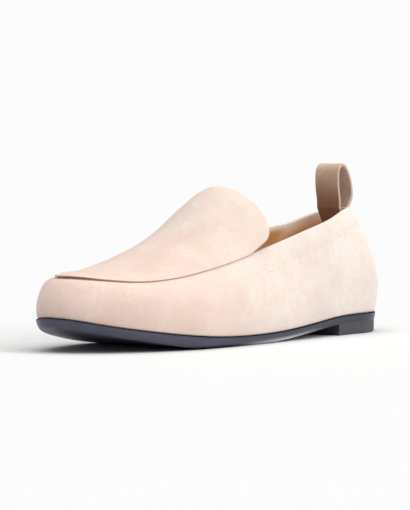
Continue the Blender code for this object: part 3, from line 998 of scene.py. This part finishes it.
# painted shade on the medial side's thread
stitch_marks = {"medial": stitches[..., 1] < 0}
add_piece("casing_stitches", stitches, stitch_faces.tolist(), thread, stitch_marks)
print(len(stitches), "stitches")

# %% [markdown]
# ## The apron and its tongue flap
#
# The apron is a second skin that laps over the wall. Half sections run from its cut edge up to the ridge of
# the instep, right round the toe, and behind the throat they go on as a free flap with rounded corners. The
# edge is skived thin and left raw, so the core of the leather shows as a fine line, which is painted darker
# towards the tip as the shade under the lifted edge. It could be sculpted, but sections that start on the
# wall's own seam line keep the lap even all the way round.

# %% The ridge of the apron
FLAP_END = 109.5
RIDGE = table(
    "station side height",
    [
        (FLAP_END, -1.0, 80.2),
        (121, -2.0, 77.0),
        (133, -3.0, 70.2),
        (146, -3.5, 61.0),
        (159, -4.0, 53.4),
        (174, -4.0, 47.2),
        (189, -4.0, 42.2),
        (205, -3.8, 38.6),
        (220, -3.6, 37.4),
        (APRON_TIP, APRON_SWING, 37.2),
    ],
)


def ridge_point(station):
    """Points of the ridge at some stations."""
    return np.stack([station, RIDGE["side"](station), RIDGE["height"](station)], axis=1)


print("the ridge rises to", float(RIDGE["height"](FLAP_END)), "mm at the end of the flap")

# %% Starts of the sections
SPINE_END = 214.0
FLAP_ROUNDING = 13.0
FLAP_SQUARENESS = 3.4
FLAP_FIRST_ANGLE = 14.0
FLAP_RISE = 0.5
FLAP_SWEEP = 7.5
FLAP_COLUMNS = 40


def seam_sections():
    """Seam point, direction there, ridge station and width of the sections in front of the throat."""
    reach = TOE_COLUMNS + FRONT_COLUMNS - 1
    near = np.arange(-reach + 1, reach)
    share = np.maximum(edge[near, 0] - BALL, 0) / (APRON_TIP - BALL)
    station = np.where(edge[near, 0] > BALL, BALL + (SPINE_END - BALL) * share, edge[near, 0])
    width = 1 - apron_trim()[near] / np.linalg.norm(edge[near] - ridge_point(station), axis=1)
    return edge[near], edge_direction()[near], station, width


def flap_sections(corner, top):
    """The same for the flap, from the throat corner back to its end, with its width at each section."""
    angle = np.radians(np.linspace(90, FLAP_FIRST_ANGLE, FLAP_COLUMNS))
    station = FLAP_END + FLAP_ROUNDING * (1 - np.cos(angle) ** (2 / FLAP_SQUARENESS))
    start = np.repeat(corner[None], FLAP_COLUMNS, axis=0)
    start[:, 0] = station
    start[:, 2] += FLAP_RISE * (corner[0] - station)
    ridge_station = station + FLAP_SWEEP * np.cos(angle)
    width = np.sin(angle) ** (2 / FLAP_SQUARENESS)
    return start, np.repeat(top[None], FLAP_COLUMNS, axis=0), ridge_station, width


# %% Apron surface
RIDGE_HANDLE = 0.37
SEAM_HANDLE = 0.30
APRON_ROWS = 44
EDGE_CROWDING = 1.15


def apron_surface():
    """The face that the apron lies on: half sections from edge to ridge, medial flap round to lateral."""
    front = seam_sections()
    medial = flap_sections(front[0][0], front[1][0])
    lateral = flap_sections(front[0][-1], front[1][-1])
    joined = [np.concatenate([m[::-1], f, n]) for m, f, n in zip(medial, front, lateral)]
    start, top, station, width = joined
    ridge = ridge_point(station)
    fall = (RIDGE["height"](station + 1) - RIDGE["height"](station - 1)) / 2
    across = start - ridge
    across[:, 0] = np.maximum(across[:, 0], 0)
    across[:, 2] = 0
    across = unit(across)
    across[:, 2] = across[:, 0] * fall
    chord = np.linalg.norm(start - ridge, axis=1)[:, None]
    t = 1 - width[:, None] * np.linspace(1, 0, APRON_ROWS) ** EDGE_CROWDING
    return bezier(start, start + top * chord * SEAM_HANDLE, ridge + across * chord * RIDGE_HANDLE, ridge, t)


apron_face = apron_surface()
apron_normals = normals(apron_face)
apron_normals[:, -1] = unit(apron_normals[:, -2] + apron_normals[::-1, -2])
apron_steps = np.linalg.norm(np.diff(apron_face, axis=1), axis=2)
in_from_edge = np.concatenate([np.zeros((len(apron_face), 1)), np.cumsum(apron_steps, axis=1)], axis=1)
print("apron sections:", apron_face.shape[:2])

# %% [markdown]
# ## The apron's suede and the tongue's lining
#
# The apron's skin lies just above that face. It is thinned towards the cut edge and pressed down there, as
# the sewing does, except at the very tip, where the edge lifts a little. Its raw core shows as a dark line
# along the edge, painted darker towards the tip as the shade under the lifted edge. Under the flap a thin
# leather lines it, painted dark brown as the shade there. Solidify would make both skins even, so the
# thickness is worked out for each point.

# %% The apron's suede
GAP = 0.3
APRON = 1.4
APRON_LINING = 0.3
SKIVED = 0.4
SKIVE = 5.0
SETTLE = 0.35
LIFT = 0.45
LIFT_ALONG = 5.0
CUT_BULGE = 0.5
CUT_SEEN = 0.55
TIP_SHADE_REACH = 24.0


def capped_shell(outer, inner, **rim):
    """A closed skin whose rows start at the ridge, with the two ends of the flap closed by strips."""
    grid = wrap(outer[::-1, ::-1], inner[::-1, ::-1], **rim)
    rows, columns = grid.shape[:2]
    faces = quads(rows, columns).tolist()
    across = outer.shape[1]
    j = np.arange(across - 1)
    first = np.stack([j, j + 1, columns - 2 - j, columns - 1 - j], axis=1)
    last = (first + (rows - 1) * columns)[:, ::-1]
    corner = list(range(across - 1, columns - across + 1))
    corners = [corner, [(rows - 1) * columns + c for c in corner[::-1]]]
    return grid, faces + first.tolist() + last.tolist() + corners


near_edge = (1 - smooth_step(in_from_edge, 0, SKIVE)) * smooth_step(apron_face[:, :1, 0], THROAT, BALL)
settle = SETTLE - LIFT * bell(apron_face[:, :1, 0] - APRON_TIP, LIFT_ALONG)
bottom = GAP + APRON_LINING - settle * near_edge
nap_side = APRON - APRON_LINING
thickness = nap_side - (nap_side - SKIVED) * (1 - smooth_step(in_from_edge, 0, SKIVE))
under = apron_face + apron_normals * bottom[..., None]
over = apron_face + apron_normals * (bottom + thickness)[..., None]
apron_grid, apron_faces = capped_shell(over, under, rim_points=THIN_RIM, bulge=CUT_BULGE)
# the raw core along the cut edge, painted darker towards the tip as the shade under the lifted edge
tip_shade = bell(apron_face[::-1, :1, 0] - APRON_TIP, TIP_SHADE_REACH)
cut_edge_and_shade = np.zeros(apron_grid.shape[:2])
cut_edge_and_shade[:, APRON_ROWS : APRON_ROWS + THIN_RIM] = CUT_SEEN + (1 - CUT_SEEN) * tip_shade
apron_marks = {"cut_and_shade": cut_edge_and_shade}
apron = add_piece("apron_suede", apron_grid, apron_faces, apron_suede, apron_marks, CRISP)
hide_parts("apron")

# %% The tongue's lining
TONGUE_TOP = 0.02
TONGUE_UNDER = 0.22
tongue_over = apron_face + apron_normals * (bottom - TONGUE_TOP)[..., None]
tongue_under = apron_face + apron_normals * (bottom - TONGUE_UNDER)[..., None]
tongue_grid, tongue_faces = capped_shell(tongue_over, tongue_under, rim_points=1)
add_piece("tongue_lining", tongue_grid, tongue_faces, tongue_leather)

# %% [markdown]
# ## The pull loop
#
# The loop is a strip of taupe suede with raw edges. It leaves the top of the collar at the back, turns over,
# and goes down inside, where it is sewn to the lining. Its middle line is a smooth path through a few
# listed places, and where it lies on the heel it is cupped as the heel is. Across the path the strip
# is a flat profile, and the two faces are wrapped into one skin with cut edges. A curve with a bevel could
# carry the strip too, but it couldn't be cupped.

# %% The loop's path
LOOP_POINTS = 220
LOOP_ROUTE = np.array(
    [  # ahead of the wall's inner face, height, cup
        (-1.5, 67.4, 1.0),
        (-3.9, 73.0, 0.5),
        (-2.6, 80.0, 0.0),
        (0.9, 87.4, 0.0),
        (5.0, 90.4, 0.0),
        (8.6, 87.6, 0.0),
        (9.2, 80.0, 0.0),
        (7.4, 70.0, 0.2),
        (6.6, 60.0, 0.7),
        (3.4, 51.0, 1.0),
        (1.4, 45.0, 1.0),
    ]
)


def through(points, count):
    """A smooth path through the points, as Catmull-Rom stretches, sampled evenly in their parameter."""
    padded = np.concatenate([2 * points[:1] - points[1:2], points, 2 * points[-1:] - points[-2:-1]])
    where = np.linspace(0, len(points) - 1, count)
    i = np.minimum(where.astype(int), len(points) - 2)
    t = (where - i)[:, None]
    before, start, end, after = (padded[i + k] for k in range(4))
    bend = 2 * before - 5 * start + 4 * end - after
    twist = 3 * (start - end) + after - before
    return start + 0.5 * t * (end - before + t * (bend + t * twist))


loop_path = through(LOOP_ROUTE, LOOP_POINTS)
print("the path rises to", round(float(loop_path[:, 1].max()), 1), "mm")

# %% The loop's strip
LOOP_WIDTH = 15.0
LOOP_CUP = 16.0
LOOP_COLUMNS = 25


def loop_surface():
    """The strip's middle face, seated on the wall's section at the heel's back."""
    ahead, height, cup = loop_path.T
    back = last_face[HEEL_COLUMN]
    lean = np.gradient(back[:, 0]) / np.gradient(back[:, 2])
    inner = back[:, 0] + WALL * np.sqrt(1 + lean**2)
    middle = np.interp(height, back[:, 2], inner) + ahead
    y = LOOP_WIDTH / 2 * np.sin(np.linspace(-np.pi / 2, np.pi / 2, LOOP_COLUMNS))
    x = middle[:, None] + cup[:, None] * y**2 / (2 * LOOP_CUP)
    return np.stack(np.broadcast_arrays(x, y, height[:, None]), axis=-1)


loop_face = loop_surface()
loop_normals = normals(loop_face)
print("rows and columns of the strip:", loop_face.shape[:2])

# %% Pull loop
LOOP = 1.6
LOOP_BULGE = 0.35
loop_outer = loop_face + loop_normals * LOOP / 2
loop_inner = loop_face - loop_normals * LOOP / 2
loop_grid = wrap(loop_outer, loop_inner, THIN_RIM, LOOP_BULGE)
rows, columns = loop_grid.shape[:2]
loop_faces = quads(rows, columns, columns_closed=True).tolist()
ends = [list(range(columns))[::-1], [(rows - 1) * columns + c for c in range(columns)]]
cut_and_shade = np.zeros(columns)
cut_and_shade[[0, -1]] = 1.0
cut_and_shade[LOOP_COLUMNS - 1 : LOOP_COLUMNS + THIN_RIM + 1] = 1.0
# the strip's inner face is its paler flesh side, which also paints light where it lies in shade
flesh_and_light = np.arange(columns) > LOOP_COLUMNS + THIN_RIM
loop_marks = {"cut_and_shade": cut_and_shade, "flesh_and_light": flesh_and_light}
loop = add_piece("pull_loop_strip", loop_grid, loop_faces + ends, loop_suede, loop_marks, CRISP)
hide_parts("pull_loop")

# %% [markdown]
# ## The sole
#
# The sole is thin and dark. Its side is nearly upright under the heel and rolls under at the forefoot. A
# plate with a bevel would come close, but this roll changes along the shoe. So a profile goes from the
# middle of the bottom out to the side, up and over the edge and back to the middle of the top, and is
# carried round the feather line. The two halves meet along a middle line, where their points are welded.
# The wax is painted paler at the waist as a reflection, and the tread under it is matte. Near the floor and
# just under the upper the sole is painted near black as shade.

# %% Sole
SOLE_TAPER = 2.0
SOLE_TAPER_BEND = 1.5
SOLE_ROLL = 0.9
SOLE_ROLL_STEEPNESS = 5
SIDE_ROWS = 18
SIDE_CROWDING = 1.6
FLAT_ROWS = 6


def opposite(ring):
    """For each column, the point of the same station on the other side."""
    return ring[(len(ring) - np.arange(len(ring))) % len(ring)]


def sole_profile():
    """Profiles from the middle of the bottom, out and up the rolled side, to the middle of the top."""
    station = feather[:, :1]
    floor = np.maximum(HEIGHTS["sole"](station), 0)
    top = feather[:, 2:] - GAP
    rise = np.linspace(1, 0, SIDE_ROWS)[None, :] ** SIDE_CROWDING
    taper = SOLE_TAPER * (1 - rise) ** SOLE_TAPER_BEND
    roll = SOLE_ROLL * np.clip(1 - SOLE_ROLL_STEEPNESS * rise, 0, 1) ** 2
    inset = HEIGHTS["rounding"](station) * (taper + roll)
    side = feather[:, None] + outward(feather)[:, None] * (SOLE_MARGIN - inset)[..., None]
    side[..., 2] = floor + rise * (top - floor)
    middle = (feather + opposite(feather))[:, None] / 2
    share = np.linspace(0, 1, FLAT_ROWS, endpoint=False)[None, :, None]
    upper_flat = middle + (side[:, :1] - middle) * share
    upper_flat[..., 2] = top
    lower_middle = (side[:, -1:] + opposite(side)[:, -1:]) / 2
    lower_flat = side[:, -1:] + (lower_middle - side[:, -1:]) * (share + 1 / FLAT_ROWS)
    lower_flat[..., 2] = floor
    return np.concatenate([lower_flat[:, ::-1], side[:, ::-1], upper_flat[:, ::-1]], axis=1)


sole_grid = sole_profile()
sole_faces = quads(*sole_grid.shape[:2], rows_closed=True).tolist()
print("the sole is", round(float(np.ptp(sole_grid[..., 0])), 1), "mm long")

# %% The sole's tread, painted shade and painted reflection
# painted shade: near black close to the floor under the forefoot
NEAR_FLOOR_LOW = 0.6
NEAR_FLOOR_HIGH = 2.2
NEAR_FLOOR_START = 130.0
NEAR_FLOOR_FULL = 165.0
SHADE_LINE = 0.86
near_floor = 1 - smooth_step(sole_grid[..., 2], NEAR_FLOOR_LOW, NEAR_FLOOR_HIGH)
near_floor = near_floor * smooth_step(sole_grid[..., 0], NEAR_FLOOR_START, NEAR_FLOOR_FULL)
side_rise = np.linspace(0, 1, SIDE_ROWS) ** SIDE_CROWDING
rise = np.concatenate([np.zeros(FLAT_ROWS), side_rise, np.ones(FLAT_ROWS)])
# painted shade: also a dark line at the top of the side, just under the upper
tread_and_shade = np.maximum(near_floor, smooth_step(rise, SHADE_LINE, 1.0))
# painted reflection: a paler band on the lower side of the waist, where the floor would be reflected
REFLECTION_SPAN = {"start": 66.0, "full": 106.0, "end": 158.0, "low": 0.05, "high": 0.55}
waist = smooth_step(feather[:, :1], REFLECTION_SPAN["start"], REFLECTION_SPAN["full"])
waist = waist * (1 - smooth_step(feather[:, :1], REFLECTION_SPAN["full"], REFLECTION_SPAN["end"]))
waist_reflection = waist * smooth_step(rise, 0, REFLECTION_SPAN["low"])
waist_reflection = waist_reflection * (1 - smooth_step(rise, REFLECTION_SPAN["low"], REFLECTION_SPAN["high"]))
sole_marks = {"tread_and_shade": tread_and_shade, "waist_reflection": waist_reflection}
sole = add_piece("dressed_sole", sole_grid, sole_faces, sole_wax, sole_marks, CRISP)
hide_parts("outsole")

# %% [markdown]
# ## The heel block
#
# The heel is a low block of rubber under the back of the sole, with a straight front that shoemakers call
# the breast. It could be cut from a cylinder, but its side has to follow the sole's edge. So its outline is
# the sole's own, closed by the breast, and it is carried down to the floor with a small bevel.

# %% Outline of the heel block
HEEL_BREAST = 54.0
BREAST_CLEARANCE = 0.4
HEEL_SET_IN = 0.68
BREAST_POINTS = 40


def heel_outline():
    """The heel's top outline and its outward vectors, round the back and then across the breast."""
    behind = feather[:, 0] < HEEL_BREAST - BREAST_CLEARANCE
    reach = SOLE_MARGIN - HEEL_SET_IN
    round_back = feather[behind] + outward(feather)[behind] * reach
    start, end = -WAIST["medial"](HEEL_BREAST) - reach, WAIST["lateral"](HEEL_BREAST) + reach
    across = np.linspace(start, end, BREAST_POINTS)
    breast = np.stack([np.full_like(across, HEEL_BREAST), across, np.zeros_like(across)], axis=1)
    taper = np.concatenate([outward(feather)[behind], np.zeros_like(breast)])
    taper[behind.sum()] = (0, -1, 0)
    taper[-1] = (0, 1, 0)
    return np.concatenate([round_back, breast]), taper


heel_ring, heel_taper = heel_outline()
print("points round the heel:", len(heel_ring))

# %% Heel block
HEEL_TAPER = 0.1
HEEL_BEVEL = 0.7
HEEL_ROWS = 12
CAP_ROWS = 5
CAP_START = 0.02


def heel_profile(outline, taper):
    """Profiles from the middle of the floor over a rounded edge and up the tapered side to the top."""
    top = outline.copy()
    top[:, 2] = HEIGHTS["sole"](outline[:, 0])
    floor = outline - taper * HEEL_TAPER
    floor[:, 2] = 0.0
    share = np.linspace(0, 1, HEEL_ROWS)[None, :, None]
    side = floor[:, None] + (top - floor)[:, None] * share
    inward = unit(outline.mean(axis=0) - outline)[:, None]
    inward[..., 2] = 0
    side += inward * HEEL_BEVEL * np.clip(1 - side[..., 2:] / HEEL_BEVEL, 0, 1) ** 2
    centre = np.array([HEEL_CENTRE, 0.0, 0.0])
    spread = np.linspace(CAP_START, 1, CAP_ROWS, endpoint=False)[None, :, None]
    lower = centre + (side[:, :1] - centre) * spread
    upper = centre + (side[:, -1:] - centre) * spread[:, ::-1]
    upper[..., 2] = HEIGHTS["sole"](upper[..., 0])
    lower[..., 2] = 0.0
    return np.concatenate([lower, side, upper], axis=1)


heel_grid = heel_profile(heel_ring, heel_taper)
rows, columns = heel_grid.shape[:2]
heel_faces = quads(rows, columns, rows_closed=True).tolist()
heel_ends = [[r * columns for r in range(rows)][::-1], [r * columns + columns - 1 for r in range(rows)]]
heel = add_piece("heel_block", heel_grid, heel_faces + heel_ends, heel_finish, crisp=CRISP)
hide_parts("heel")

# %% [markdown]
# ## The insole
#
# The foot stands on a sock of lining leather. It lies inside the wall, a little smaller than the feather
# line. A solidified copy of the sole would have square edges, so its profile gets a rounded upper edge.

# %% Insole
INSOLE = 2.5
INSOLE_INSET = 3.2
INSOLE_ROUND = 0.6
CORNER_POINTS = 6


def insole_profile():
    """Profiles from the middle of the bottom, up the side and over a rounded edge to the middle."""
    outline = feather - outward(feather) * INSOLE_INSET
    outline[:, 2] = HEIGHTS["feather"](outline[:, 0])
    turn = np.linspace(0, np.pi / 2, CORNER_POINTS)[None, :, None]
    out = outward(feather)[:, None]
    corner = outline[:, None] - out * INSOLE_ROUND * (1 - np.cos(turn))
    corner = corner + UP * (INSOLE - INSOLE_ROUND * (1 - np.sin(turn)))
    middle = (outline + opposite(outline))[:, None] / 2
    share = np.linspace(0, 1, FLAT_ROWS, endpoint=False)[None, :, None]
    lower = middle + (outline[:, None] - middle) * share
    upper = middle + UP * INSOLE + (corner[:, -1:] - middle - UP * INSOLE) * share[:, ::-1]
    return np.concatenate([lower, outline[:, None], corner, upper], axis=1)


insole_grid = insole_profile()
insole_faces = quads(*insole_grid.shape[:2], rows_closed=True).tolist()
insole = add_piece("sock", insole_grid, insole_faces, tan_lining, crisp=CRISP)
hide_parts("insole")

# %% [markdown]
# ## Floor and light
#
# The shoe stands on a plain white floor in soft studio light. Area lamps would fall off and leave spots on
# the floor. Sun lamps with a wide angle act as large softboxes: their light doesn't fall off, so the floor
# stays even to the horizon. The camera sees a brighter sky than the one that lights the shoe, which keeps the
# background white.

# %% Floor
FLOOR_HALF = 8.0
FLOOR_GREY = 0.681
floor_mesh = bpy.data.meshes.new("floor")
corners = [(x, y, 0.0) for x, y in ((-1, -1), (1, -1), (1, 1), (-1, 1))]
floor_mesh.from_pydata((np.array(corners) * FLOOR_HALF).tolist(), [], [(0, 1, 2, 3)])
floor = bpy.data.objects.new("floor", floor_mesh)
bpy.context.scene.collection.objects.link(floor)
floor_finish, _, floor_shader = new_finish("white_floor", roughness=0.9, Specular_IOR_Level=0.1)
floor_shader.inputs["Base Color"].default_value = rgb(FLOOR_GREY, FLOOR_GREY, FLOOR_GREY)
floor_mesh.materials.append(floor_finish)
floor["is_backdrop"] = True
print("a floor of", 2 * FLOOR_HALF, "m")

# %% Light
scene = bpy.context.scene
scene.view_settings.view_transform = "Standard"
LAMPS = (
    {"name": "overhead", "from": (0.05, 0.12, 1.0), "strength": 2.4, "angle": 75},
    {"name": "lateral_side", "from": (-0.35, 1.0, 0.6), "strength": 1.75, "angle": 40},
)
for row in LAMPS:
    lamp = bpy.data.lights.new(row["name"], "SUN")
    lamp.energy = row["strength"]
    lamp.angle = np.radians(row["angle"])
    lamp_object = bpy.data.objects.new(row["name"], lamp)
    lamp_object.rotation_euler = Vector(row["from"]).to_track_quat("Z", "Y").to_euler()
    scene.collection.objects.link(lamp_object)

WORLD_LIGHT = 0.42
BACKDROP = 0.97
world = bpy.data.worlds.new("studio")
world.use_nodes = True
scene.world = world
sky = world.node_tree.nodes["Background"]
seen = add_node(world.node_tree, "LightPath").outputs["Is Camera Ray"]
level = mix(world.node_tree, seen, rgb(*[WORLD_LIGHT] * 3), rgb(*[BACKDROP] * 3))
world.node_tree.links.new(level, sky.inputs["Color"])
print("lamps:", [row["name"] for row in LAMPS])

# %% [markdown]
# ## Camera
#
# The camera is low and looks at the lateral side from a little in front. Its distance, lens and aim were
# worked out from the shoe's measures and where they show in the picture. It could be turned by hand until
# it fits, but numbers keep the same view when the shoe changes.

# %% Camera
IMAGE_HEIGHT = 510
AIM = np.array([126.1, -2.5, 44.4])
CAMERA_YAW = np.radians(50.88)
CAMERA_RISE = np.radians(2.35)
CAMERA_DISTANCE = 1512.0
FOCAL_PIXELS = 2912.0
SENSOR = 36.0

camera_data = bpy.data.cameras.new("camera")
camera_data.sensor_width = SENSOR
camera_data.lens = FOCAL_PIXELS / IMAGE_HEIGHT * SENSOR
level_back = np.array([np.sin(CAMERA_YAW), np.cos(CAMERA_YAW), 0.0])
back = level_back * np.cos(CAMERA_RISE) + UP * np.sin(CAMERA_RISE)
camera = bpy.data.objects.new("camera", camera_data)
camera.location = (AIM + HEEL_BACK + back * CAMERA_DISTANCE) * MM
camera.rotation_euler = Vector(back).to_track_quat("Z", "Y").to_euler()
scene.collection.objects.link(camera)
scene.camera = camera
print("a lens of", round(camera_data.lens, 1), "mm, at", CAMERA_DISTANCE, "mm")

# %% [markdown]
# ## Sizes
#
# A dressed part should fill the same box as its solids. Both boxes could be read off by eye in the viewport,
# but the last line compares them and prints the largest difference.

# %% Sizes
visual_box = [list(corner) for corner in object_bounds()]
growth = np.abs(np.array(visual_box) - np.array(cad_box)) / MM
print("the dressed shoe differs from the solids' box by at most", round(float(growth.max()), 2), "mm")
